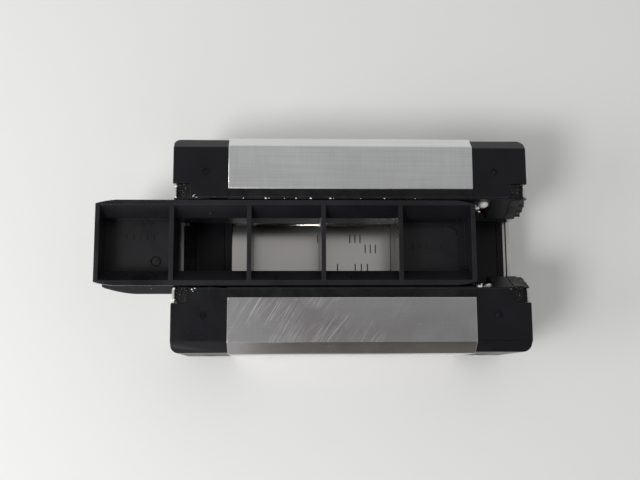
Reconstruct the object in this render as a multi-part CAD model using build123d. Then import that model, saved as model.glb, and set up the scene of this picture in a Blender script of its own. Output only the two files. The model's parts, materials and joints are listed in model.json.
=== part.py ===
from build123d import *
import os
from math import cos, pi, sin, sqrt

# Linear guide carriage, size 30, slim body, with its transport arbor.
# Millimetres. X runs along the rail, Y across it, and Z from the mounting
# face (z = 0) to the open underside. The origin is the centre of the mounting face.

# --- Steel body -------------------------------------------------------------
STEEL_HALF = 33.7            # half length of the steel body
BODY_HALF_WIDTH = 30.0
BODY_HEIGHT = 35.35          # mounting face to underside
UNDERSIDE_HALF = 27.0        # where the long chamfer meets the underside
CHAMFER_START_Z = 31.65      # where the long chamfer leaves the side
EDGE_BREAK = 0.5
SKIRT_HALF = 14.9            # inner faces of the skirts at the underside
CEILING_Z = 15.45            # bottom of the rail channel
CEILING_HALF = 7.9
SHOULDER = (9.1, 16.4)       # top of the small bevel beside the ceiling
RETAINER_SEAT = (10.1, 14.0)
SEAL_SEAT = (13.4, 33.5)     # inner end of the ledge that carries the side seal

# --- Mounting threads and end screws ----------------------------------------
THREAD_PITCH_X = 40.0
THREAD_PITCH_Y = 40.0
THREAD_RADIUS = 3.4          # M8, drawn at its core diameter
THREAD_DEPTH = 12.0
SCREW_SPOTS = ((21.0, 6.4), (18.2, 29.8))
SCREW_RADIUS = 1.5
SCREW_CLEARANCE = 1.6
SCREW_DEPTH = 8.0            # reach into the steel
SCREW_HEAD_RADIUS = 2.7
SCREW_HEAD_DEPTH = 1.6

# --- Balls and their circuits -----------------------------------------------
BALL_RADIUS = 2.381
BALLS_PER_CIRCUIT = 36
RETURN_Y = 22.5
ROWS = {"upper": (12.6, 17.2, -1), "lower": (12.1, 25.34, 1)}   # y, z, side of the raceway
FIRST_BALL = -1.0            # where the first ball lies along its circuit
TRACK_RADIUS = 2.6
TURN_START = 35.7            # x where the ball turns begin
RACE_RADIUS = 2.4
RACE_BACK = 4.18             # ball centre to the back of the load plate
RACE_FRONT = 1.2             # ball centre to the front edges of the load plate
RACE_HALF_WIDTH = 2.6
TUBE_RADIUS = 3.5
TUBE_FIT = 0.02
CAGE_RADIUS = 2.5
CAGE_FACE = 13.0             # face of the middle retainer beside the rail head

# --- End caps, recirculation plates and seals -------------------------------
CAP_END = 48.8
CAP_HALF_WIDTH = 29.6
CAP_LOW_Z = 0.4
CAP_HIGH_Z = 35.0
CAP_CORNER = 1.8
PLATE_POCKET_END = TURN_START
POCKET_INSET = 2.2
SEAL_START = 44.2
CARRIER_START = 46.1
GASKET_START = 46.8
OUTER_START = 47.1
OUTER_END = 48.5
NOTCH_HALF = 16.4
LEG_TIP_Z = 34.6
SEAL_GAP = 0.3
SHEET_GAP = 1.6              # the carrier and gasket end short of the rubber lips
SHEET_TIP_Z = 33.0
MOUTH_HALF = 12.2            # wider mouth of the cap beside the steel body
MOUTH_END = 38.8
MOUTH_Z = 24.0
GUIDE_HALF_HEIGHT = 2.45
PORT_Z = 6.3
PORT_RADIUS = 2.5
PORT_CLEARANCE = 3.2
SIDE_PORT = (40.0, 7.0)      # x, z of the side lubrication ports
SIDE_PORT_RADIUS = 2.2
SIDE_PORT_DEPTH = 5.0
DIMPLE = (39.7, 19.6)
DIMPLE_RADIUS = 1.1
DIMPLE_DEPTH = 0.35

# --- Rail-shaped outline of the arbor (y, z), from the rim to the head ------
ARBOR_RIM = (11.7, 35.35)
ARBOR_RIM_EDGE_Z = 34.7
ARBOR_WAIST = (7.9, 26.2)
ARBOR_FLANK_Z = 25.75        # where the flank below the waist begins
ARBOR_BULGE = (12.6, 21.05)
ARBOR_BULGE_END_Z = 20.6
ARBOR_HEAD = (8.5, 18.0)
ARBOR_TOP_Z = 16.6
ARBOR_RIM_INNER = 10.35
ARBOR_LEDGE = (7.33, 31.75)  # foot of the sloping inner side of the wall
ARBOR_WAIST_INNER = (7.1, 24.9)
ARBOR_BULGE_WALL = 1.1
ARBOR_FLOOR_Z = 26.2
ARBOR_FLOOR = 1.3
ARBOR_START = -69.5
ARBOR_END = 34.05
ARBOR_RIB = 1.2
ARBOR_RIBS_X = (-69.5, -49.45, -28.5, -8.25, 12.85, 32.85)
ARBOR_RIM_TAPER = 1.0
ARBOR_TAPER_LENGTH = 5.5
ARBOR_LEAD_IN = 1.8
ARBOR_LEAD_LENGTH = 9.0

ROOT2 = sqrt(2.0)


# --- Helpers ----------------------------------------------------------------
def prism(points, start, end):
    """A (y, z) outline extruded along X from start to end."""
    outline = Polyline(*[(start, y, z) for y, z in points], close=True)
    return extrude(make_face(outline), amount=end - start, dir=(1, 0, 0))


def both_sides(half):
    """A closed outline from its +Y half, listed from one end to the other."""
    return list(half) + [(-y, z) for y, z in reversed(half) if y > 0]


def rod(start, end, y, z, radius):
    """A round bar along X."""
    middle = (start + end) / 2
    return Pos(middle, y, z) * Rot(0, 90, 0) * Cylinder(radius, end - start)


def mirrored(part):
    """The same part on the -Y side."""
    return mirror(part, about=Plane.XZ)


def rear(part):
    """The same part at the -X end."""
    return mirror(part, about=Plane.YZ)


def rail_half(gap, top_gap):
    """The +Y half of the rail shape grown by gap, from underside to channel top."""
    lean = gap * (ROOT2 - 1)
    return [
        (ARBOR_RIM[0] + gap, BODY_HEIGHT + 1),
        (ARBOR_RIM[0] + gap, ARBOR_RIM_EDGE_Z),
        (ARBOR_WAIST[0] + gap, ARBOR_WAIST[1] + lean),
        (ARBOR_WAIST[0] + gap, ARBOR_FLANK_Z + lean),
        (ARBOR_BULGE[0] + gap, ARBOR_BULGE[1] + lean),
        (ARBOR_BULGE[0] + gap, ARBOR_BULGE_END_Z - gap / 2),
        (ARBOR_HEAD[0] + gap, ARBOR_HEAD[1] - gap / 2),
        (ARBOR_HEAD[0] + gap, ARBOR_TOP_Z - top_gap),
    ]


def rail_opening(gap, top_gap=None):
    """Outline of the space round the rail shape, clear of it by gap."""
    return both_sides(rail_half(gap, gap if top_gap is None else top_gap))


def raceway_corner(row, across, along):
    """A corner of a load plate: distance from the ball centre and along the plate."""
    y, z, side = ROWS[row]
    return (y + (across + along) / ROOT2, z + side * (across - along) / ROOT2)


def row_rods(row, radius, start, end):
    """The ball row and its return, on the +Y side, as two round bars."""
    y, z, _ = ROWS[row]
    return rod(start, end, y, z, radius) + rod(start, end, RETURN_Y, z, radius)


# --- Steel body and what lies in it -----------------------------------------
def carriage_body():
    half = [
        (BODY_HALF_WIDTH - EDGE_BREAK, 0),
        (BODY_HALF_WIDTH, EDGE_BREAK),
        (BODY_HALF_WIDTH, CHAMFER_START_Z),
        (UNDERSIDE_HALF, BODY_HEIGHT),
        (SKIRT_HALF, BODY_HEIGHT),
        (SKIRT_HALF, SEAL_SEAT[1]),
        SEAL_SEAT,
        raceway_corner("lower", RACE_BACK, -RACE_HALF_WIDTH),
        raceway_corner("lower", RACE_BACK, RACE_HALF_WIDTH),
        raceway_corner("upper", RACE_BACK, RACE_HALF_WIDTH),
        raceway_corner("upper", RACE_BACK, -RACE_HALF_WIDTH),
        seat_end(),
        RETAINER_SEAT,
        (RETAINER_SEAT[0], SHOULDER[1]),
        SHOULDER,
        (CEILING_HALF, CEILING_Z),
    ]
    body = prism(both_sides(half), -STEEL_HALF, STEEL_HALF)
    for y in (-RETURN_Y, RETURN_Y):
        for row in ROWS.values():
            body -= rod(-STEEL_HALF, STEEL_HALF, y, row[1], TUBE_RADIUS)
    for x in (-THREAD_PITCH_X / 2, THREAD_PITCH_X / 2):
        for y in (-THREAD_PITCH_Y / 2, THREAD_PITCH_Y / 2):
            body -= Pos(x, y, THREAD_DEPTH / 2) * Cylinder(THREAD_RADIUS, THREAD_DEPTH)
    for y, z in SCREW_SPOTS:
        hole = rod(STEEL_HALF - SCREW_DEPTH, STEEL_HALF, y, z, SCREW_RADIUS)
        for one in (hole, mirrored(hole)):
            body -= one
            body -= rear(one)
    return body


def seat_end():
    """Where the seat of the upper retainer meets the upper load plate."""
    y, z = raceway_corner("upper", RACE_BACK, -RACE_HALF_WIDTH)
    return (y - (RETAINER_SEAT[1] - z), RETAINER_SEAT[1])


def load_plate(row):
    corners = [
        raceway_corner(row, RACE_BACK, RACE_HALF_WIDTH),
        raceway_corner(row, RACE_BACK, -RACE_HALF_WIDTH),
        raceway_corner(row, RACE_FRONT, -RACE_HALF_WIDTH),
        raceway_corner(row, RACE_FRONT, RACE_HALF_WIDTH),
    ]
    y, z, _ = ROWS[row]
    plate = prism(corners, -STEEL_HALF, STEEL_HALF)
    return plate - rod(-STEEL_HALF, STEEL_HALF, y, z, RACE_RADIUS)


def return_tube(row):
    z = ROWS[row][1]
    tube = rod(-STEEL_HALF, STEEL_HALF, RETURN_Y, z, TUBE_RADIUS - TUBE_FIT)
    return tube - rod(-STEEL_HALF, STEEL_HALF, RETURN_Y, z, TRACK_RADIUS)


def middle_retainer():
    outline = [
        raceway_corner("upper", RACE_BACK, RACE_HALF_WIDTH),
        raceway_corner("lower", RACE_BACK, RACE_HALF_WIDTH),
        raceway_corner("lower", RACE_FRONT, RACE_HALF_WIDTH),
        (CAGE_FACE, 23.6),
        (CAGE_FACE, 18.9),
        raceway_corner("upper", RACE_FRONT, RACE_HALF_WIDTH),
    ]
    strip = prism(outline, -STEEL_HALF, STEEL_HALF)
    for y, z, _ in ROWS.values():
        strip -= rod(-STEEL_HALF, STEEL_HALF, y, z, CAGE_RADIUS)
    return strip


def upper_retainer():
    outline = [
        RETAINER_SEAT,
        seat_end(),
        raceway_corner("upper", RACE_FRONT, -RACE_HALF_WIDTH),
        (11.61, 15.2),
        (RETAINER_SEAT[0], SHOULDER[1]),
    ]
    y, z, _ = ROWS["upper"]
    strip = prism(outline, -STEEL_HALF, STEEL_HALF)
    return strip - rod(-STEEL_HALF, STEEL_HALF, y, z, CAGE_RADIUS)


def lower_retainer():
    outline = [
        SEAL_SEAT,
        (11.9, SEAL_SEAT[1]),
        (10.3, 28.3),
        (10.3, 27.2),
        raceway_corner("lower", RACE_FRONT, -RACE_HALF_WIDTH),
        raceway_corner("lower", RACE_BACK, -RACE_HALF_WIDTH),
    ]
    y, z, _ = ROWS["lower"]
    strip = prism(outline, -STEEL_HALF, STEEL_HALF)
    return strip - rod(-STEEL_HALF, STEEL_HALF, y, z, CAGE_RADIUS)


def side_seal():
    outline = [
        (SKIRT_HALF, 35.15),
        (12.9, 35.15),
        (12.05, 34.95),
        (12.05, 34.6),
        (13.1, 34.2),
        SEAL_SEAT,
        (SKIRT_HALF, SEAL_SEAT[1]),
    ]
    return prism(outline, -STEEL_HALF, STEEL_HALF)


def ball_circuit(row):
    """Balls spread evenly round one closed circuit on the +Y side."""
    y, z, _ = ROWS[row]
    turn = (RETURN_Y - y) / 2
    straight = 2 * TURN_START
    lap = 2 * straight + 2 * pi * turn
    balls = []
    for index in range(BALLS_PER_CIRCUIT):
        run = (lap * index / BALLS_PER_CIRCUIT + FIRST_BALL) % lap
        if run < straight:
            spot = (run - TURN_START, y)
        elif run < straight + pi * turn:
            angle = (run - straight) / turn
            spot = (TURN_START + turn * sin(angle), y + turn * (1 - cos(angle)))
        elif run < 2 * straight + pi * turn:
            spot = (TURN_START - (run - straight - pi * turn), RETURN_Y)
        else:
            angle = (run - 2 * straight - pi * turn) / turn
            spot = (-TURN_START - turn * sin(angle), RETURN_Y - turn * (1 - cos(angle)))
        balls.append(Pos(spot[0], spot[1], z) * Sphere(BALL_RADIUS))
    return balls


# --- Ends -------------------------------------------------------------------
def cap_outline(inset=0.0):
    """Outer outline of an end cap, or of a pocket in it."""
    half_width = CAP_HALF_WIDTH - inset
    corner = 0.8
    drop = BODY_HEIGHT - CHAMFER_START_Z
    side = BODY_HALF_WIDTH - UNDERSIDE_HALF
    half = [
        (half_width - corner, CAP_LOW_Z + inset),
        (half_width, CAP_LOW_Z + inset + corner),
        (half_width, CAP_HIGH_Z - drop - inset * 0.4),
        (half_width - side + inset * 0.6, CAP_HIGH_Z - inset),
    ]
    return both_sides(half)


def plate_outline(leg_tip=LEG_TIP_Z):
    """Outline of the seal and plates that sit in the outer pocket of a cap."""
    half_width = CAP_HALF_WIDTH - POCKET_INSET
    low = CAP_LOW_Z + POCKET_INSET
    rim = CAP_HIGH_Z - POCKET_INSET
    half = [
        (half_width - 0.8, low),
        (half_width, low + 0.8),
        (half_width, rim - 2.0),
        (half_width - 2.0, rim),
        (NOTCH_HALF, rim),
        (NOTCH_HALF, leg_tip),
    ]
    return both_sides(half)


def turn_cavity(row):
    """The space that one ball turn and its inner guide take up, +Y side."""
    y, z, _ = ROWS[row]
    turn = (RETURN_Y - y) / 2
    ring = Torus(turn, TRACK_RADIUS)
    disc = Cylinder(turn, 2 * GUIDE_HALF_HEIGHT)
    return Pos(TURN_START, y + turn, z) * (ring + disc)


def mouth(end):
    """The wider part of the channel beside the steel body."""
    half = [(MOUTH_HALF, BODY_HEIGHT + 1), (MOUTH_HALF, MOUTH_Z)]
    return prism(both_sides(half), STEEL_HALF, end)


def return_guide(row):
    """D-shaped inner guide that the balls run round, +Y side."""
    y, z, _ = ROWS[row]
    turn = (RETURN_Y - y) / 2
    disc = Cylinder(turn, 2 * GUIDE_HALF_HEIGHT) - Torus(turn, TRACK_RADIUS)
    front = Pos(turn, 0, 0) * Box(2 * turn, 3 * turn, 3 * turn)
    return Pos(TURN_START, y + turn, z) * (disc & front)


def end_cap():
    cap = prism(cap_outline(), STEEL_HALF, CAP_END)
    corners = cap.edges().filter_by(Axis.Z).sort_by(Axis.X)[-2:]
    cap = fillet(corners, CAP_CORNER)
    cap -= prism(rail_opening(0.4), STEEL_HALF, CAP_END)
    cap -= mouth(MOUTH_END)
    cap -= prism(cap_outline(POCKET_INSET), STEEL_HALF, PLATE_POCKET_END)
    cap -= prism(plate_outline(), SEAL_START, CAP_END)
    notch = [(NOTCH_HALF, BODY_HEIGHT), (NOTCH_HALF, CAP_HIGH_Z - POCKET_INSET)]
    cap -= prism(both_sides(notch), SEAL_START, CAP_END)
    for row in ROWS:
        cavity = turn_cavity(row)
        cap -= cavity
        cap -= mirrored(cavity)
    for y, z in SCREW_SPOTS:
        hole = rod(STEEL_HALF, CAP_END, y, z, SCREW_CLEARANCE)
        cap -= hole
        cap -= mirrored(hole)
    cap -= rod(PLATE_POCKET_END, CAP_END, 0, PORT_Z, PORT_RADIUS)
    x, z = SIDE_PORT
    bore = Pos(x, CAP_HALF_WIDTH, z) * Rot(90, 0, 0) * Cylinder(SIDE_PORT_RADIUS, 2 * SIDE_PORT_DEPTH)
    cap -= bore
    cap -= mirrored(bore)
    x, y = DIMPLE
    for side in (-1, 1):
        cap -= Pos(x, side * y, CAP_HIGH_Z) * Cylinder(DIMPLE_RADIUS, 2 * DIMPLE_DEPTH)
    return cap


def recirculation_plate():
    plate = prism(cap_outline(POCKET_INSET), STEEL_HALF, PLATE_POCKET_END)
    plate -= prism(rail_opening(0.4), STEEL_HALF, PLATE_POCKET_END)
    plate -= mouth(PLATE_POCKET_END)
    for row in ROWS:
        tracks = row_rods(row, TRACK_RADIUS, STEEL_HALF, PLATE_POCKET_END)
        plate -= tracks
        plate -= mirrored(tracks)
    for y, z in SCREW_SPOTS:
        hole = rod(STEEL_HALF, PLATE_POCKET_END, y, z, SCREW_CLEARANCE)
        plate -= hole
        plate -= mirrored(hole)
    return plate


def end_sheet(start, end, gap, cone=False, leg_tip=LEG_TIP_Z, top_gap=None):
    """A sheet in the outer pocket of a cap, open round the rail."""
    sheet = prism(plate_outline(leg_tip), start, end)
    sheet -= prism(rail_opening(gap, top_gap), start, end)
    sheet -= rod(start, end, 0, PORT_Z, PORT_CLEARANCE)
    for y, z in SCREW_SPOTS:
        hole = screw_head(y, z, TUBE_FIT) if cone else rod(start, end, y, z, SCREW_CLEARANCE)
        sheet -= hole
        sheet -= mirrored(hole)
    return sheet


def end_seal():
    """Rubber seal whose lips and leg tips wrap the edges of the sheets behind them."""
    lip = rail_half(SEAL_GAP, SEAL_GAP) + rail_half(SHEET_GAP, SEAL_GAP)[::-1]
    tip = [
        (ARBOR_RIM[0] + SEAL_GAP, LEG_TIP_Z),
        (ARBOR_RIM[0] + SEAL_GAP, SHEET_TIP_Z),
        (NOTCH_HALF, SHEET_TIP_Z),
        (NOTCH_HALF, LEG_TIP_Z),
    ]
    wrap = prism(lip, CARRIER_START, OUTER_START) + prism(tip, CARRIER_START, OUTER_START)
    wrap -= prism([(0, LEG_TIP_Z), (20, LEG_TIP_Z), (20, 40), (0, 40)], CARRIER_START, OUTER_START)
    return end_sheet(SEAL_START, CARRIER_START, SEAL_GAP) + wrap + mirrored(wrap)


def screw_head(y, z, grow=0.0):
    """Countersunk head with a short run of shank under it."""
    tip = SCREW_RADIUS + grow
    head = Cone(tip, SCREW_HEAD_RADIUS + grow, SCREW_HEAD_DEPTH)
    middle = OUTER_END - SCREW_HEAD_DEPTH / 2
    shank = rod(GASKET_START - 0.5, OUTER_END - SCREW_HEAD_DEPTH, y, z, tip)
    return Pos(middle, y, z) * Rot(0, 90, 0) * head + shank


def end_screws():
    screws = []
    for y, z in SCREW_SPOTS:
        shank = rod(STEEL_HALF - SCREW_DEPTH + 0.5, GASKET_START - 0.5, y, z, SCREW_RADIUS - TUBE_FIT)
        screw = screw_head(y, z) + shank
        socket = RegularPolygon(1.25, 6)
        recess = extrude(Plane.YZ.offset(OUTER_END - 1.1) * Pos(y, z) * socket, amount=1.2)
        screw -= recess
        screws += [screw, mirrored(screw)]
    return screws


def port_screw():
    start, end = 41.0, 47.6
    screw = rod(start, end, 0, PORT_Z, PORT_RADIUS - TUBE_FIT)
    socket = RegularPolygon(1.7, 6)
    return screw - extrude(Plane.YZ.offset(end - 2.0) * Pos(0, PORT_Z) * socket, amount=2.1)


def side_plugs():
    x, z = SIDE_PORT
    plugs = []
    depth = SIDE_PORT_DEPTH - 0.3
    for side in (-1, 1):
        y = side * (CAP_HALF_WIDTH - SIDE_PORT_DEPTH + depth / 2)
        plug = Pos(x, y, z) * Rot(90, 0, 0) * Cylinder(SIDE_PORT_RADIUS - TUBE_FIT, depth)
        slot_y = side * (CAP_HALF_WIDTH - 0.5)
        plug -= Pos(x, slot_y, z) * Box(3.2, 1.0, 0.7)
        plugs.append(plug)
    return plugs


# --- Transport arbor ----------------------------------------------------------
def arbor_outline():
    """Full rail-shaped outline, as the ribs fill it."""
    half = [
        ARBOR_RIM,
        (ARBOR_RIM[0], ARBOR_RIM_EDGE_Z),
        ARBOR_WAIST,
        (ARBOR_WAIST[0], ARBOR_FLANK_Z),
        ARBOR_BULGE,
        (ARBOR_BULGE[0], ARBOR_BULGE_END_Z),
        ARBOR_HEAD,
        (ARBOR_HEAD[0], ARBOR_TOP_Z),
    ]
    return both_sides(half)


def arbor_wall():
    """Outline of the long side wall at +Y, from the rim to the bulge."""
    bulge_inner = ARBOR_BULGE[0] - ARBOR_BULGE_WALL
    drop = bulge_inner - ARBOR_WAIST_INNER[0]
    return [
        ARBOR_RIM,
        (ARBOR_RIM[0], ARBOR_RIM_EDGE_Z),
        ARBOR_WAIST,
        (ARBOR_WAIST[0], ARBOR_FLANK_Z),
        ARBOR_BULGE,
        (ARBOR_BULGE[0], ARBOR_BULGE_END_Z),
        (bulge_inner, ARBOR_WAIST_INNER[1] - drop),
        ARBOR_WAIST_INNER,
        (ARBOR_WAIST_INNER[0], ARBOR_FLOOR_Z),
        ARBOR_LEDGE,
        (ARBOR_RIM_INNER, ARBOR_RIM[1]),
    ]


def wedge(tip, length, y, cut, low, high):
    """What narrows the arbor by cut at its tip, along a slightly round line, +Y side."""
    start = (tip, y - cut)
    middle = (tip + length / 2, y - cut / 3)
    end = (tip + length, y)
    outline = [ThreePointArc(start, middle, end), Polyline(end, (tip + length, y + 1), (tip, y + 1), start)]
    return extrude(Pos(0, 0, low) * make_face(outline), amount=high - low)


def end_tapers():
    """The narrowing of the rim and of the bulge towards both ends, +Y side."""
    rim_low = ARBOR_WAIST[1] + 4
    for tip, inward in ((ARBOR_START, 1), (ARBOR_END, -1)):
        rim = inward * ARBOR_TAPER_LENGTH
        yield wedge(tip, rim, ARBOR_RIM[0], ARBOR_RIM_TAPER, rim_low, ARBOR_RIM[1])
        bulge = inward * ARBOR_LEAD_LENGTH
        yield wedge(tip, bulge, ARBOR_BULGE[0], ARBOR_LEAD_IN, ARBOR_HEAD[1], ARBOR_FLANK_Z)


def transport_arbor():
    wall = prism(arbor_wall(), ARBOR_START, ARBOR_END)
    arbor = wall + mirrored(wall)
    for start in ARBOR_RIBS_X:
        arbor += prism(arbor_outline(), start, start + ARBOR_RIB)
    reach = ARBOR_WAIST_INNER[0] + 0.2
    floor = [(reach, ARBOR_FLOOR_Z), (reach, ARBOR_FLOOR_Z - ARBOR_FLOOR)]
    for bay in (0, len(ARBOR_RIBS_X) - 2):
        arbor += prism(both_sides(floor), ARBOR_RIBS_X[bay], ARBOR_RIBS_X[bay + 1])
    for taper in end_tapers():
        arbor -= taper
        arbor -= mirrored(taper)
    return arbor


# --- Nodes --------------------------------------------------------------------
def nodes():
    """Every node by name. Left is the +Y side and front is the +X end."""
    made = {"carriage_body": carriage_body()}
    for row in ROWS:
        for name, maker in (("load_plate", load_plate), ("return_tube", return_tube)):
            part = maker(row)
            made[f"{name}_{row}_left"] = part
            made[f"{name}_{row}_right"] = mirrored(part)
        balls = ball_circuit(row)
        made[f"ball_circuit_{row}_left"] = Compound(children=balls)
        made[f"ball_circuit_{row}_right"] = Compound(children=[mirrored(ball) for ball in balls])
    for name, maker in (
        ("middle_retainer", middle_retainer),
        ("upper_retainer", upper_retainer),
        ("lower_retainer", lower_retainer),
        ("side_seal", side_seal),
    ):
        part = maker()
        made[f"{name}_left"] = part
        made[f"{name}_right"] = mirrored(part)
    guides = [return_guide(row) for row in ROWS]
    guides += [mirrored(guide) for guide in guides]
    front = {
        "recirculation_plate": recirculation_plate(),
        "return_guides": Compound(children=guides),
        "end_cap": end_cap(),
        "end_seal": end_seal(),
        "seal_carrier": end_sheet(CARRIER_START, GASKET_START, SHEET_GAP, leg_tip=SHEET_TIP_Z, top_gap=0.6),
        "end_gasket": end_sheet(GASKET_START, OUTER_START, SHEET_GAP, True, SHEET_TIP_Z, top_gap=0.4),
        "end_plate": end_sheet(OUTER_START, OUTER_END, 0.9, cone=True),
        "end_screws": Compound(children=end_screws()),
        "port_screw": port_screw(),
        "side_plugs": Compound(children=side_plugs()),
    }
    for name, part in front.items():
        made[f"{name}_front"] = part
        made[f"{name}_rear"] = rear(part)
    made["transport_arbor"] = transport_arbor()
    return made


def main():
    os.makedirs("parts", exist_ok=True)
    for name, part in nodes().items():
        part.label = name
        export_step(part, f"parts/{name}.step")


main()
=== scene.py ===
import json
import math
import random

import bmesh
import bpy
from mathutils import Euler, Matrix, Vector


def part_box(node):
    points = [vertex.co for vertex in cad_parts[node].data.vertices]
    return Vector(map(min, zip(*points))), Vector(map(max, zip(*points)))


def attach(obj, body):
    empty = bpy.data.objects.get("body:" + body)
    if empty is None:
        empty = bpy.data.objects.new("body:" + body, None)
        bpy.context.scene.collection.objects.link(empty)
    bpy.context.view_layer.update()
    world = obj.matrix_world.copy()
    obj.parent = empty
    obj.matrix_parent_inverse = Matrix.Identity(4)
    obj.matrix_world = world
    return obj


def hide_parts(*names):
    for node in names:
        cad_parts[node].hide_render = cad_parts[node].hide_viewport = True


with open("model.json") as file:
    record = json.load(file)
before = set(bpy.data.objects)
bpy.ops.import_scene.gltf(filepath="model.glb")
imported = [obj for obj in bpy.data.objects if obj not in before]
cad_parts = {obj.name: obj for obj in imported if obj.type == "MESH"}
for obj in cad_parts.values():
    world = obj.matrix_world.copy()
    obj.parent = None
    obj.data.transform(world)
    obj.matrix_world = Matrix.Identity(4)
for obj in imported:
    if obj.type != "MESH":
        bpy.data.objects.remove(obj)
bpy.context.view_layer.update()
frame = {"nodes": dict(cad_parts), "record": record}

# Linear guide carriage lying on its mounting face, with its transport arbor.
# Metres. X runs along the rail, Y across it, Z up from the mounting face.

MM = 0.001
SLOTS = {part["node"]: part["material_slot"] for part in frame["record"]["subparts"]}


# --- Materials ----------------------------------------------------------------
SCRATCH_TURN = math.radians(-30)


class Shader:
    """A small helper that adds and links nodes of one material."""

    def __init__(self, name, colour, roughness, metallic=0.0):
        self.material = bpy.data.materials.new(name)
        self.material.use_nodes = True
        self.tree = self.material.node_tree
        self.bsdf = self.tree.nodes["Principled BSDF"]
        self.bsdf.inputs["Base Color"].default_value = (*colour, 1)
        self.bsdf.inputs["Roughness"].default_value = roughness
        self.bsdf.inputs["Metallic"].default_value = metallic
        self.place = self.add("ShaderNodeTexCoord").outputs["Object"]

    def add(self, kind, **inputs):
        node = self.tree.nodes.new(kind)
        for key, value in inputs.items():
            node.inputs[key].default_value = value
        return node

    def link(self, source, target):
        self.tree.links.new(source, target)

    def stretched(self, scale, turn=0.0):
        """Object position turned about Z and scaled per axis."""
        mapping = self.add("ShaderNodeMapping")
        mapping.vector_type = "TEXTURE"
        mapping.inputs["Rotation"].default_value = (0, 0, turn)
        mapping.inputs["Scale"].default_value = [1 / part for part in scale]
        self.link(self.place, mapping.inputs["Vector"])
        return mapping.outputs["Vector"]

    def noise(self, scale, detail=2.0, stretch=(1, 1, 1), turn=0.0, roughness=0.5):
        node = self.add("ShaderNodeTexNoise", Scale=scale, Detail=detail, Roughness=roughness)
        self.link(self.stretched(stretch, turn), node.inputs["Vector"])
        return node.outputs["Fac"]

    def span(self, value, low, high, to_low, to_high):
        node = self.add("ShaderNodeMapRange")
        node.inputs["From Min"].default_value = low
        node.inputs["From Max"].default_value = high
        node.inputs["To Min"].default_value = to_low
        node.inputs["To Max"].default_value = to_high
        self.link(value, node.inputs["Value"])
        return node.outputs["Result"]

    def math(self, operation, first, second):
        node = self.add("ShaderNodeMath")
        node.operation = operation
        for socket, value in zip(node.inputs, (first, second)):
            if isinstance(value, (int, float)):
                socket.default_value = value
            else:
                self.link(value, socket)
        return node.outputs["Value"]

    def mix(self, factor, first, second):
        """A colour between two colours."""
        node = self.add("ShaderNodeMix")
        node.data_type = "RGBA"
        self.link(factor, node.inputs[0])
        for socket, value in ((node.inputs[6], first), (node.inputs[7], second)):
            if isinstance(value, tuple):
                socket.default_value = (*value, 1)
            else:
                self.link(value, socket)
        return node.outputs[2]

    def bump(self, height, strength, distance, under=None):
        node = self.add("ShaderNodeBump", Strength=strength, Distance=distance)
        self.link(height, node.inputs["Height"])
        if under is not None:
            self.link(under, node.inputs["Normal"])
        return node.outputs["Normal"]

    def coordinate(self, axis):
        node = self.add("ShaderNodeSeparateXYZ")
        self.link(self.place, node.inputs[0])
        return node.outputs[axis]


def ground_steel():
    """Ground steel: fine lines along X, cloudy patches, handling scratches at -Y, and painted light that
    makes the steel inside the channel lighter.
    """
    s = Shader("ground_steel", (0.6, 0.6, 0.6), 0.3, 1.0)
    lines = s.noise(2600, 3, (0.015, 1, 1))
    cross = s.noise(2600, 2, (1, 0.04, 1))
    patches = s.noise(55, 5, (0.7, 1, 1))
    on_left = s.span(s.coordinate("Y"), -0.010, -0.013, 0, 1)
    near_side = s.span(s.coordinate("Z"), 0.024, 0.028, 0, 1)
    worn = s.math("MULTIPLY", on_left, near_side)
    fine = s.span(s.noise(7000, 0, (1, 0.004, 1), SCRATCH_TURN), 0.62, 0.74, 0, 1)
    steep = s.span(s.noise(6000, 0, (1, 0.005, 1), SCRATCH_TURN * 1.35), 0.64, 0.76, 0, 1)
    scratches = s.math("MAXIMUM", fine, steep)
    scratches = s.math("MULTIPLY", scratches, s.span(s.noise(140, 2), 0.42, 0.60, 0, 1))
    toward_rear = s.span(s.coordinate("X"), 0.012, -0.002, 0.25, 1)
    scratches = s.math("MULTIPLY", scratches, s.math("MULTIPLY", worn, toward_rear))
    # Pure white specks scattered over the worn -Y side.
    white_specks = s.math("MULTIPLY", worn, s.span(s.noise(2400, 0), 0.83, 0.86, 0, 0.6))
    tone = s.mix(s.span(lines, 0.3, 0.7, 0, 1), (0.79, 0.79, 0.795), (0.91, 0.91, 0.915))
    tone = s.mix(s.span(cross, 0.3, 0.7, 0, 0.25), tone, (0.62, 0.62, 0.62))
    tone = s.mix(s.math("MULTIPLY", worn, s.span(patches, 0.35, 0.7, 0.35, 0.95)), tone, (0.35, 0.322, 0.332))
    tone = s.mix(s.math("MULTIPLY", scratches, 0.32), tone, (0.95, 0.95, 0.95))
    tone = s.mix(white_specks, tone, (1.0, 1.0, 1.0))
    # Painted light: below 18 mm, inside the channel, the steel gets a lighter, warmer colour. It is also made
    # smoother.
    painted_light_inside = s.span(s.coordinate("Z"), 0.0185, 0.0175, 0, 1)
    tone = s.mix(painted_light_inside, tone, (0.97, 0.93, 0.90))
    s.link(tone, s.bsdf.inputs["Base Color"])
    rough = s.span(patches, 0.3, 0.7, 0.27, 0.36)
    rough = s.math("ADD", rough, s.math("MULTIPLY", scratches, 0.1))
    rough = s.math("SUBTRACT", rough, s.math("MULTIPLY", painted_light_inside, 0.10))
    s.link(rough, s.bsdf.inputs["Roughness"])
    normal = s.bump(lines, 0.08, 0.00002)
    s.link(s.bump(scratches, 0.15, 0.00002, normal), s.bsdf.inputs["Normal"])
    return s.material


def raceway_steel():
    s = Shader("raceway_steel", (0.6, 0.6, 0.6), 0.22, 1.0)
    lines = s.noise(1200, 2, (0.02, 1, 1))
    s.link(s.mix(lines, (0.5, 0.5, 0.5), (0.68, 0.68, 0.68)), s.bsdf.inputs["Base Color"])
    s.link(s.span(lines, 0.3, 0.7, 0.16, 0.3), s.bsdf.inputs["Roughness"])
    return s.material


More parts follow.
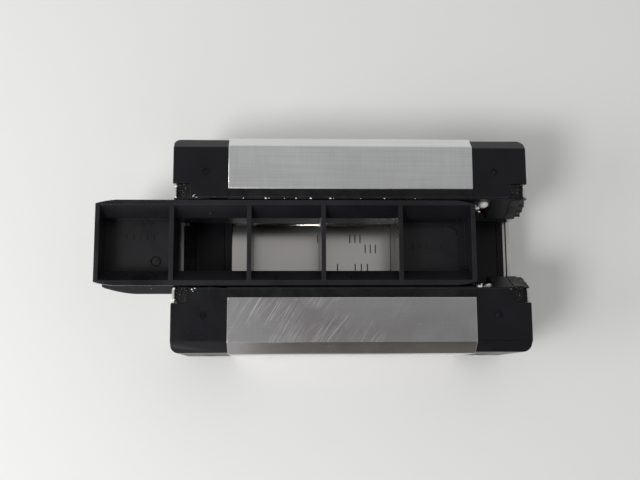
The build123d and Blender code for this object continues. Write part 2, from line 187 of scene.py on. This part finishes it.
def ball_steel():
    s = Shader("ball_steel", (0.85, 0.85, 0.86), 0.08, 1.0)
    film = s.noise(500, 2)
    s.link(s.mix(film, (0.8, 0.79, 0.76), (0.93, 0.93, 0.93)), s.bsdf.inputs["Base Color"])
    s.link(s.span(film, 0.3, 0.7, 0.06, 0.2), s.bsdf.inputs["Roughness"])
    return s.material


def sheet_steel(name, tone, roughness):
    """Rolled sheet with a faint lengthwise grain and smears."""
    s = Shader(name, tone, roughness, 1.0)
    grain = s.noise(1500, 2, (1, 0.05, 1))
    smear = s.noise(150, 3)
    dark = tuple(0.8 * channel for channel in tone)
    s.link(s.mix(grain, dark, tone), s.bsdf.inputs["Base Color"])
    s.link(s.span(smear, 0.3, 0.7, roughness - 0.08, roughness + 0.12), s.bsdf.inputs["Roughness"])
    s.link(s.bump(grain, 0.1, 0.00003), s.bsdf.inputs["Normal"])
    return s.material


def moulded_plastic(name, tone, roughness, oiled=0.3, shine=0.27):
    """Black moulded plastic with an eroded grain, worn patches and oily smears."""
    s = Shader(name, tone, roughness)
    s.bsdf.inputs["Specular IOR Level"].default_value = shine
    grain = s.noise(2600, 2)
    wave = s.noise(120, 3)
    smears = s.span(s.noise(70, 4, (1, 0.5, 1), 0.5), 0.5, 0.7, 0, oiled)
    light = tuple(1.9 * channel for channel in tone)
    s.link(s.mix(s.span(wave, 0.3, 0.75, 0, 1), tone, light), s.bsdf.inputs["Base Color"])
    rough = s.span(grain, 0.3, 0.7, roughness - 0.04, roughness + 0.08)
    s.link(s.math("SUBTRACT", rough, s.math("MULTIPLY", smears, 0.3)), s.bsdf.inputs["Roughness"])
    normal = s.bump(grain, 0.25, 0.00003)
    s.link(s.bump(wave, 0.25, 0.00015, normal), s.bsdf.inputs["Normal"])
    return s.material


def seal_rubber():
    """Black rubber, wet with oil, with a lumpy worn skin."""
    s = Shader("seal_rubber", (0.006, 0.006, 0.007), 0.42)
    s.bsdf.inputs["Specular IOR Level"].default_value = 0.2
    lumps = s.noise(900, 4)
    wet = s.noise(160, 2)
    s.link(s.mix(lumps, (0.003, 0.003, 0.0035), (0.012, 0.012, 0.013)), s.bsdf.inputs["Base Color"])
    s.link(s.span(wet, 0.35, 0.65, 0.16, 0.5), s.bsdf.inputs["Roughness"])
    s.link(s.bump(lumps, 0.5, 0.0002), s.bsdf.inputs["Normal"])
    return s.material


def wet_rubber():
    """Torn rubber wet with oil, which catches the light."""
    s = Shader("wet_rubber", (0.012, 0.012, 0.014), 0.2)
    lumps = s.noise(1400, 3)
    s.link(s.mix(lumps, (0.004, 0.004, 0.005), (0.018, 0.0175, 0.02)), s.bsdf.inputs["Base Color"])
    s.link(s.span(s.noise(500, 2), 0.35, 0.65, 0.16, 0.42), s.bsdf.inputs["Roughness"])
    s.link(s.bump(lumps, 0.6, 0.0003), s.bsdf.inputs["Normal"])
    s.bsdf.inputs["Specular IOR Level"].default_value = 0.45
    return s.material


def grease():
    """Pale grease, wet and a little translucent."""
    s = Shader("grease", (0.8, 0.77, 0.68), 0.18)
    lumps = s.noise(1200, 3)
    s.link(s.mix(lumps, (0.93, 0.90, 0.80), (1.0, 0.99, 0.97)), s.bsdf.inputs["Base Color"])
    s.link(s.bump(lumps, 0.4, 0.0002), s.bsdf.inputs["Normal"])
    s.bsdf.inputs["Coat Weight"].default_value = 0.6
    s.bsdf.inputs["Subsurface Weight"].default_value = 0.2
    s.bsdf.inputs["Subsurface Scale"].default_value = 0.0006
    return s.material


def etched_mark():
    """Dark oxide of a marked line on the steel."""
    s = Shader("etched_mark", (0.05, 0.05, 0.055), 0.5, 0.6)
    speckle = s.noise(3000, 2)
    s.link(s.mix(speckle, (0.03, 0.03, 0.04), (0.14, 0.14, 0.15)), s.bsdf.inputs["Base Color"])
    return s.material


def floor_material():
    s = Shader("pale_floor", (0.78, 0.78, 0.78), 0.7)
    cloud = s.noise(6, 3)
    s.link(s.mix(cloud, (0.77, 0.765, 0.755), (0.81, 0.81, 0.805)), s.bsdf.inputs["Base Color"])
    return s.material


MATERIALS = {
    "ground_steel": ground_steel(),
    "raceway_steel": raceway_steel(),
    "ball_steel": ball_steel(),
    "inner_plastic": moulded_plastic("inner_plastic", (0.004, 0.004, 0.005), 0.4),
    "cap_plastic": moulded_plastic("cap_plastic", (0.003, 0.003, 0.0045), 0.36, 0.3, 0.26),
    "seal_rubber": seal_rubber(),
    "carrier_steel": sheet_steel("carrier_steel", (0.80, 0.75, 0.71), 0.35),
    "stainless": sheet_steel("stainless", (0.86, 0.84, 0.80), 0.32),
    "screw_steel": sheet_steel("screw_steel", (0.22, 0.22, 0.23), 0.35),
    "arbor_plastic": moulded_plastic("arbor_plastic", (0.0055, 0.0055, 0.007), 0.33, 0.6, 0.42),
}
GREASE = grease()
MARK = etched_mark()
WET_RUBBER = wet_rubber()


# --- Pieces --------------------------------------------------------------------
SHARP_ANGLE = math.radians(28)


def finish_cad_nodes():
    """Gives every CAD node the material of its slot."""
    for node, thing in frame["nodes"].items():
        thing.data.materials.clear()
        thing.data.materials.append(MATERIALS[SLOTS[node]])


def body_of(node):
    for body, nodes in frame["record"]["behaviour"]["bodies"].items():
        if node in nodes:
            return body


def piece(name, mesh, body, material):
    """A new object that rides on a body."""
    thing = bpy.data.objects.new(name, mesh)
    bpy.context.scene.collection.objects.link(thing)
    mesh.materials.clear()
    mesh.materials.append(material)
    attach(thing, body)
    return thing


def rounded_skin(node, width, segments=2, shortest=0.0, clamp=True):
    """Stands for a CAD node with its long sharp edges broken."""
    work = bmesh.new()
    work.from_mesh(frame["nodes"][node].data)
    bmesh.ops.remove_doubles(work, verts=work.verts, dist=0.000002)
    bmesh.ops.dissolve_limit(
        work, angle_limit=math.radians(0.5), verts=work.verts, edges=work.edges, delimit={"NORMAL"}
    )
    weight = work.edges.layers.float.new("bevel_weight_edge")
    for edge in work.edges:
        sharp = edge.is_manifold and edge.calc_face_angle() > SHARP_ANGLE
        edge[weight] = 1.0 if sharp and edge.calc_length() > shortest else 0.0
        edge.smooth = not sharp or edge[weight] > 0
    mesh = bpy.data.meshes.new(node + "_skin")
    work.to_mesh(mesh)
    work.free()
    for polygon in mesh.polygons:
        polygon.use_smooth = True
    slot = SLOTS[node]
    thing = piece(node + "_skin", mesh, body_of(node), MATERIALS[slot])
    bevel = thing.modifiers.new("edges", "BEVEL")
    bevel.width = width
    bevel.segments = segments
    bevel.limit_method = "WEIGHT"
    bevel.use_clamp_overlap = clamp
    weighted = thing.modifiers.new("flat_faces", "WEIGHTED_NORMAL")
    weighted.keep_sharp = True
    weighted.weight = 100
    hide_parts(node)
    return thing


LOBE_COUNT = 7


def blob(name, centre, size, seed, body, stretch=(1, 1, 0.6)):
    """An uneven drop of grease."""
    rng = random.Random(seed)
    work = bmesh.new()
    bmesh.ops.create_icosphere(work, subdivisions=3, radius=size)
    lobes = []
    for _ in range(LOBE_COUNT):
        toward = Vector([rng.uniform(-1, 1) for _ in range(3)]).normalized()
        lobes.append((toward, rng.uniform(0.1, 0.45)))
    for vert in work.verts:
        direction = vert.co.normalized()
        swell = 1 + sum(weight * max(0, direction.dot(lobe)) ** 4 for lobe, weight in lobes) - 0.2
        vert.co = Vector(centre) + Vector([c * s * swell for c, s in zip(vert.co, stretch)])
    mesh = bpy.data.meshes.new(name)
    work.to_mesh(mesh)
    work.free()
    for polygon in mesh.polygons:
        polygon.use_smooth = True
    return piece(name, mesh, body, GREASE)


def specks(name, spots, body, material=None):
    """Many small drops or crumbs as one piece; a spot is (x, y, z, size) in millimetres."""
    rng = random.Random(name)
    work = bmesh.new()
    for x, y, z, size in spots:
        drop = bmesh.ops.create_icosphere(work, subdivisions=2, radius=size * MM)
        pull = [rng.uniform(0.6, 1.6), rng.uniform(0.5, 1.0), rng.uniform(0.4, 0.8)]
        for vert in drop["verts"]:
            bulge = 1 + 0.25 * math.sin(9000 * vert.co.x + 4000 * vert.co.y + size)
            vert.co = Vector((x, y, z)) * MM + Vector([c * p * bulge for c, p in zip(vert.co, pull)])
    mesh = bpy.data.meshes.new(name)
    work.to_mesh(mesh)
    work.free()
    for polygon in mesh.polygons:
        polygon.use_smooth = True
    return piece(name, mesh, body, material or GREASE)


def stroke_mesh(name, strokes, width, z_low, z_high):
    """Raised or laid strokes: each is a list of (x, y) in metres, made as a thin ribbon."""
    work = bmesh.new()
    for line in strokes:
        for start, end in zip(line, line[1:]):
            start, end = Vector(start), Vector(end)
            along = (end - start).normalized()
            side = Vector((-along.y, along.x)) * width / 2
            along = along * width / 3
            corners = [start - along - side, end + along - side, end + along + side, start - along + side]
            low = [work.verts.new((c.x, c.y, z_low)) for c in corners]
            high = [work.verts.new((c.x, c.y, z_high)) for c in corners]
            work.faces.new(low[::-1])
            work.faces.new(high)
            for i in range(4):
                work.faces.new((low[i], low[(i + 1) % 4], high[(i + 1) % 4], high[i]))
    mesh = bpy.data.meshes.new(name)
    work.to_mesh(mesh)
    work.free()
    return mesh


def ring(x, y, radius, count=24, start=0.0, sweep=2 * math.pi):
    return [
        (x + radius * math.cos(start + sweep * i / count), y + radius * math.sin(start + sweep * i / count))
        for i in range(count + 1)
    ]


# --- Build ----------------------------------------------------------------------
finish_cad_nodes()
rounded_skin("carriage_body", 0.2 * MM, shortest=2.0 * MM, clamp=False)
for end in ("front", "rear"):
    rounded_skin("end_cap_" + end, 0.22 * MM, shortest=1.2 * MM, clamp=False)
    rounded_skin("end_seal_" + end, 0.12 * MM, shortest=0.6 * MM, clamp=False)
    rounded_skin("end_plate_" + end, 0.08 * MM, shortest=0.6 * MM, clamp=False)
rounded_skin("transport_arbor", 0.25 * MM)
for side in ("left", "right"):
    rounded_skin("side_seal_" + side, 0.1 * MM)


def strip_piece(name, low, high, body, slot, bow=0.0):
    """A low bar with uneven top, from one corner to the other."""
    rng = random.Random(name)
    work = bmesh.new()
    count = 40
    rows = []
    for i in range(count + 1):
        share = i / count
        y = low[1] + (high[1] - low[1]) * share
        top = high[2] - rng.uniform(0, bow)
        edge = high[0] - rng.uniform(0, bow)
        corners = ((low[0], y, low[2]), (edge, y, low[2]), (edge, y, top), (low[0], y, top))
        rows.append([work.verts.new(corner) for corner in corners])
    for first, second in zip(rows, rows[1:]):
        for i in range(4):
            j = (i + 1) % 4
            work.faces.new((first[i], first[j], second[j], second[i]))
    work.faces.new(rows[0][::-1])
    work.faces.new(rows[-1])
    bmesh.ops.recalc_face_normals(work, faces=work.faces)
    mesh = bpy.data.meshes.new(name)
    work.to_mesh(mesh)
    work.free()
    return piece(name, mesh, body, MATERIALS[slot])


# Rubber smeared over the sheet edges at the arbor's entry, across the channel's top.
channel_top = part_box("seal_carrier_rear")[0].x
strip_piece(
    "rear_lip_smear",
    (channel_top - 0.75 * MM, -7.8 * MM, 15.9 * MM),
    (channel_top + 0.75 * MM, 7.8 * MM, 16.35 * MM),
    "carriage", "seal_rubber", 0.1 * MM,
)

# Grease: over the last balls in sight at the free end, and drops along the lips and notches.
for name, y, reach, seed in (("left", 11.85, 1.0, 8), ("right", -11.65, 0.85, 5)):
    place = (37.9 * MM, y * MM, 30.2 * MM)
    blob("ball_grease_" + name, place, 1.05 * MM, seed, "carriage", (1.4 * reach, 1.0 * reach, 1.2))

LIP_Y, LIP_Z = 12.25, 35.05
lip_drops = [(-29.6, 0.16), (-23.5, 0.28), (-22.6, 0.14), (-18.4, 0.12), (-15.2, 0.15), (-11.2, 0.26),
             (-5.8, 0.24), (-4.9, 0.12), (2.5, 0.10), (9.1, 0.14), (17.6, 0.10)]
specks("lip_drops_left", [(x, LIP_Y, LIP_Z, size) for x, size in lip_drops], "carriage")
specks("lip_drops_right", [(x, -LIP_Y - 0.6, LIP_Z, size * 0.5) for x, size in lip_drops[::2]], "carriage")

# Spots are (x, y, z, size) in millimetres, for the front +Y notch; the others mirror them.
NOTCH_SPOTS = [
    (47.9, 15.6, 34.5, 0.5), (48.1, 14.6, 34.3, 0.4), (47.8, 13.4, 34.4, 0.35), (47.9, 12.6, 34.4, 0.5),
    (43.2, 12.7, 34.95, 0.32), (42.4, 12.5, 34.95, 0.2), (42.9, 13.2, 34.95, 0.15),
]
for side, sign in (("left", 1), ("right", -1)):
    specks("notch_drops_rear_" + side, [(-x, sign * y, z, r) for x, y, z, r in NOTCH_SPOTS], "carriage")
    small = [(x, sign * y, z, r * 0.45) for x, y, z, r in NOTCH_SPOTS]
    specks("notch_drops_front_" + side, small, "carriage")
# The drops are sunk in the arbor's flank, so that they pass the seals.
ARBOR_SPOTS = [
    (-55.6, -11.9, 21.25, 0.42), (-55.9, -11.1, 22.3, 0.3), (-64.2, -12.3, 20.9, 0.3),
    (-61.8, -12.3, 20.9, 0.28), (-58.2, -12.4, 20.9, 0.18), (-60.2, 11.45, 35.1, 0.18),
]
specks("arbor_drops", ARBOR_SPOTS, "arbor")


# Crumbs of torn rubber along the edges of the seal's legs.
LEG_TIP_Z = 34.6
LEG_SLOPE = 0.447               # how fast a leg's inner edge comes in below its tip
rng = random.Random(11)
for end, sign_x in (("front", 1), ("rear", -1)):
    crumbs = []
    for side in (-1, 1):
        for _ in range(26):
            x = sign_x * rng.uniform(44.4, 47.0)
            y = side * rng.uniform(12.15, 16.2)
            crumbs.append((x, y, LEG_TIP_Z, rng.uniform(0.12, 0.3)))
        for _ in range(30):
            drop = rng.uniform(0, 8)
            y = 12.05 - drop * LEG_SLOPE
            x = sign_x * rng.uniform(44.3, 48.4)
            crumbs.append((x, side * (y + 0.35), LEG_TIP_Z - drop, rng.uniform(0.12, 0.26)))
        for _ in range(10):
            crumbs.append((sign_x * 44.1, side * rng.uniform(12.4, 16.3), 34.65, rng.uniform(0.1, 0.25)))
    specks("seal_crumbs_" + end, crumbs, "carriage", WET_RUBBER)


def ragged_cover(name, low_x, high_x, top, foot, thick, body):
    """Torn rubber over a sloping sheet edge; top and foot are (y, z) in millimetres."""
    rng = random.Random(name)
    work = bmesh.new()
    rows = []
    count = 18
    for i in range(count + 1):
        share = i / count
        y = top[0] + (foot[0] - top[0]) * share
        z = top[1] + (foot[1] - top[1]) * share
        inward = math.copysign(thick * rng.uniform(0.5, 1.0), -y)
        near = low_x + rng.uniform(0, 0.25)
        far = high_x - rng.uniform(0, 0.5)
        corners = ((near, y, z), (far, y, z), (far, y + inward, z + 0.2), (near, y + inward, z + 0.2))
        rows.append([work.verts.new(Vector(c) * MM) for c in corners])
    for first, second in zip(rows, rows[1:]):
        for i in range(4):
            j = (i + 1) % 4
            work.faces.new((first[i], first[j], second[j], second[i]))
    work.faces.new(rows[0][::-1])
    work.faces.new(rows[-1])
    bmesh.ops.recalc_face_normals(work, faces=work.faces)
    mesh = bpy.data.meshes.new(name)
    work.to_mesh(mesh)
    work.free()
    return piece(name, mesh, body, WET_RUBBER)


# The plate edges at the free end are hidden under torn rubber, down both legs.
for side, sign in (("left", 1), ("right", -1)):
    ragged_cover("leg_cover_" + side, 47.0, 48.7, (sign * 12.8, 34.4), (sign * 9.15, 26.6), 0.78, "carriage")


# Rubber pressed over the inner half of each plate's tip, so only a narrow bright edge shows.
for end, low_x, high_x in (("front", 46.9, 47.85), ("rear", -47.85, -46.9)):
    for side, low_y, high_y in (("left", 12.5, 16.3), ("right", -16.3, -12.5)):
        low, high = (low_x * MM, low_y * MM, 34.2 * MM), (high_x * MM, high_y * MM, 34.9 * MM)
        strip_piece(f"tip_cover_{end}_{side}", low, high, "carriage", "seal_rubber", 0.3 * MM)


def bead(name, y, low_x, high_x, z, size, seed, body, material):
    """A thin wavering bead along X, six-sided, in millimetres."""
    rng = random.Random(seed)
    work = bmesh.new()
    rows = []
    count = 110
    for i in range(count + 1):
        x = low_x + (high_x - low_x) * i / count
        centre_y = y + rng.uniform(-0.05, 0.05)
        radius = size * rng.uniform(0.6, 1.0)
        ring_points = [(x, centre_y + radius * math.cos(a), z + radius * math.sin(a))
                       for a in (math.pi * k / 3 for k in range(6))]
        rows.append([work.verts.new(Vector(c) * MM) for c in ring_points])
    for first, second in zip(rows, rows[1:]):
        for i in range(6):
            j = (i + 1) % 6
            work.faces.new((first[i], first[j], second[j], second[i]))
    work.faces.new(rows[0][::-1])
    work.faces.new(rows[-1])
    bmesh.ops.recalc_face_normals(work, faces=work.faces)
    mesh = bpy.data.meshes.new(name)
    work.to_mesh(mesh)
    work.free()
    for polygon in mesh.polygons:
        polygon.use_smooth = True
    return piece(name, mesh, body, material)


# The wet edge of each side lip, and drops near the foot of the cap sides.
bead("lip_edge_left", 12.62, -43.5, 43.5, 35.05, 0.17, 3, "carriage", WET_RUBBER)
bead("lip_edge_right", -12.62, -43.5, 43.5, 35.05, 0.13, 4, "carriage", WET_RUBBER)
specks("foot_drops", [(39.8, -29.6, 2.6, 0.3), (46.6, -29.5, 3.0, 0.22), (-44.5, -29.6, 2.2, 0.2),
                      (-38.9, -29.6, 2.6, 0.16)], "carriage")


# Moulded marks on the arbor: a date clock and ticks in the first bay, a panel line in the last.
FLOOR_Z = 26.2 * MM
clock = [ring(-54.2 * MM, -4.0 * MM, 1.3 * MM), [(-54.2 * MM, -4.0 * MM), (-53.5 * MM, -3.3 * MM)]]
ticks = [[(x * MM, 2.2 * MM), (x * MM, 3.6 * MM)] for x in (-62.5, -60.6, -58.7, -56.8, -54.9)]
marks = stroke_mesh("moulded_marks", clock + ticks, 0.32 * MM, FLOOR_Z - 0.1 * MM, FLOOR_Z + 0.25 * MM)
piece("moulded_marks", marks, "arbor", MATERIALS["arbor_plastic"])
PANEL_X, PANEL_Y = 30.6 * MM, 5.9 * MM
PANEL_CORNER = 2.2 * MM
panel_top = [(15.2 * MM, PANEL_Y), (26.6 * MM, PANEL_Y)]
panel_corner = ring(
    PANEL_X - PANEL_CORNER, PANEL_Y - PANEL_CORNER, PANEL_CORNER, 8, math.pi / 2, -math.pi / 2
)
panel = [panel_top + panel_corner + [(PANEL_X, -6.9 * MM)]]
panel += [[(x * MM, -0.4 * MM), (x * MM, 0.9 * MM)] for x in (18.0, 20.0, 22.0, 24.0, 26.0)]
panel_mesh = stroke_mesh("panel_line", panel, 0.32 * MM, FLOOR_Z - 0.1 * MM, FLOOR_Z + 0.25 * MM)
piece("panel_line", panel_mesh, "arbor", MATERIALS["arbor_plastic"])

# Etched ticks on the channel's top, seen through the windows.
CHANNEL_Z = 15.45 * MM
etched = [[(x * MM, y * MM), (x * MM, (y + 2.3) * MM)] for x, y in (
    (-8.6, 3.0), (0.9, 3.0), (2.4, 3.0), (3.9, 3.0), (5.4, 0.0), (6.9, 0.0), (8.4, 0.0),
    (-2.8, -5.7), (2.4, -5.7), (4.2, -5.7), (6.0, -5.7))]
etched_mesh = stroke_mesh("etched_ticks", etched, 0.32 * MM, CHANNEL_Z - 0.02 * MM, CHANNEL_Z + 0.015 * MM)
piece("etched_ticks", etched_mesh, "carriage", MARK)

# Gate marks: a small torn nib in each dimple of the caps, and one on the arbor's wall.
CAP_TOP_Z = 34.65
nibs = [(sx * 39.7, sy * 19.6) for sx in (-1, 1) for sy in (-1, 1)]


def nib(name, x, y, z, body, slot, size):
    """A torn stub of a mould gate: a low cone with an uneven rim."""
    rng = random.Random(name)
    work = bmesh.new()
    count = 14
    base = [work.verts.new(((x + size * math.cos(a)) * MM, (y + size * math.sin(a)) * MM, z * MM))
            for a in (2 * math.pi * i / count for i in range(count))]
    top = [work.verts.new(((x + size * 0.55 * math.cos(a)) * MM, (y + size * 0.55 * math.sin(a)) * MM,
                           (z + rng.uniform(0.12, 0.34)) * MM))
           for a in (2 * math.pi * i / count for i in range(count))]
    pit = work.verts.new((x * MM, y * MM, (z + 0.06) * MM))
    for i in range(count):
        j = (i + 1) % count
        work.faces.new((base[i], base[j], top[j], top[i]))
        work.faces.new((top[i], top[j], pit))
    work.faces.new(base[::-1])
    mesh = bpy.data.meshes.new(name)
    work.to_mesh(mesh)
    work.free()
    piece(name, mesh, body, MATERIALS[slot])


for index, (x, y) in enumerate(nibs):
    nib(f"gate_nib_{index + 1}", x, y, CAP_TOP_Z, "carriage", "cap_plastic", 0.55)
nib("wall_nib", -38.4, 8.75, 33.3, "arbor", "arbor_plastic", 0.6)


# --- Stage ----------------------------------------------------------------------
def plane(name, centre, half_u, half_v, axis_u, axis_v, material):
    """A flat rectangle for the stage."""
    centre, axis_u, axis_v = Vector(centre), Vector(axis_u), Vector(axis_v)
    signs = ((-1, -1), (1, -1), (1, 1), (-1, 1))
    corners = [centre + a * half_u * axis_u + b * half_v * axis_v for a, b in signs]
    mesh = bpy.data.meshes.new(name)
    mesh.from_pydata([tuple(c) for c in corners], [], [(0, 1, 2, 3)])
    thing = bpy.data.objects.new(name, mesh)
    mesh.materials.append(material)
    bpy.context.scene.collection.objects.link(thing)
    return thing


FLOOR_HALF = 4.0
plane("floor", (0, 0, 0), FLOOR_HALF, FLOOR_HALF, (1, 0, 0), (0, 1, 0), floor_material())


def reflected_card(name, centre, half_u, half_v, axis_u, axis_v, tone):
    """A dark card that only reflections see."""
    material = bpy.data.materials.new(name)
    material.use_nodes = True
    tree = material.node_tree
    tree.nodes.clear()
    glow = tree.nodes.new("ShaderNodeEmission")
    glow.inputs["Color"].default_value = (*tone, 1)
    tree.links.new(glow.outputs[0], tree.nodes.new("ShaderNodeOutputMaterial").inputs["Surface"])
    card = plane(name, centre, half_u, half_v, axis_u, axis_v, material)
    card.visible_camera = False
    card.visible_diffuse = False
    card.visible_shadow = False
    card.visible_transmission = False
    return card


def soft_light(name, place, size, power, tone=(1, 1, 1)):
    light = bpy.data.lights.new(name, "AREA")
    light.shape = "DISK"
    light.size = size
    light.energy = power
    light.color = tone
    lamp = bpy.data.objects.new(name, light)
    lamp.location = place
    lamp.rotation_euler = (-Vector(place)).to_track_quat("-Z", "Y").to_euler()
    bpy.context.scene.collection.objects.link(lamp)
    return lamp


def studio_sky(dark_axis, near_angle, far_angle, dark, bright):
    """Soft pale surround that is darker overhead."""
    world = bpy.data.worlds.new("studio")
    bpy.context.scene.world = world
    world.use_nodes = True
    tree = world.node_tree
    place = tree.nodes.new("ShaderNodeTexCoord")
    toward = tree.nodes.new("ShaderNodeVectorMath")
    toward.operation = "DOT_PRODUCT"
    toward.inputs[1].default_value = Vector(dark_axis).normalized()
    tree.links.new(place.outputs["Generated"], toward.inputs[0])
    span = tree.nodes.new("ShaderNodeMapRange")
    span.inputs["From Min"].default_value = math.cos(near_angle)
    span.inputs["From Max"].default_value = math.cos(far_angle)
    span.inputs["To Min"].default_value = dark
    span.inputs["To Max"].default_value = bright
    tree.links.new(toward.outputs["Value"], span.inputs["Value"])
    background = tree.nodes["Background"]
    background.inputs["Color"].default_value = (0.99, 1.0, 0.995, 1)
    tree.links.new(span.outputs["Result"], background.inputs["Strength"])


soft_light("key", (-0.27, -0.19, 0.48), 0.17, 1.25)
soft_light("side_window", (-0.46, -0.10, 0.30), 0.30, 0.9)
studio_sky((0.03, -0.2, 0.96), math.radians(6), math.radians(42), 0.13, 0.61)
reflected_card("dark_clothes", (0.111, -0.12, 0.06), 0.144, 0.06, (1, 0, 0), (0, 0, 1), (0.055, 0.047, 0.03))
bpy.context.scene.view_settings.view_transform = "Standard"


# --- Camera ---------------------------------------------------------------------
CAMERA_PLACE = Vector((-18.41, -37.46, 276.53)) * MM
CAMERA_TILT = Euler((-0.1567, 0.0398, -0.001), "XYZ")
CAMERA_LENS = 50.6

camera_data = bpy.data.cameras.new("camera")
camera_data.lens = CAMERA_LENS
camera_data.sensor_width = 36
camera_data.clip_start = 0.01
camera = bpy.data.objects.new("camera", camera_data)
camera.matrix_world = Matrix.Translation(CAMERA_PLACE) @ CAMERA_TILT.to_matrix().transposed().to_4x4()
bpy.context.scene.collection.objects.link(camera)
bpy.context.scene.camera = camera
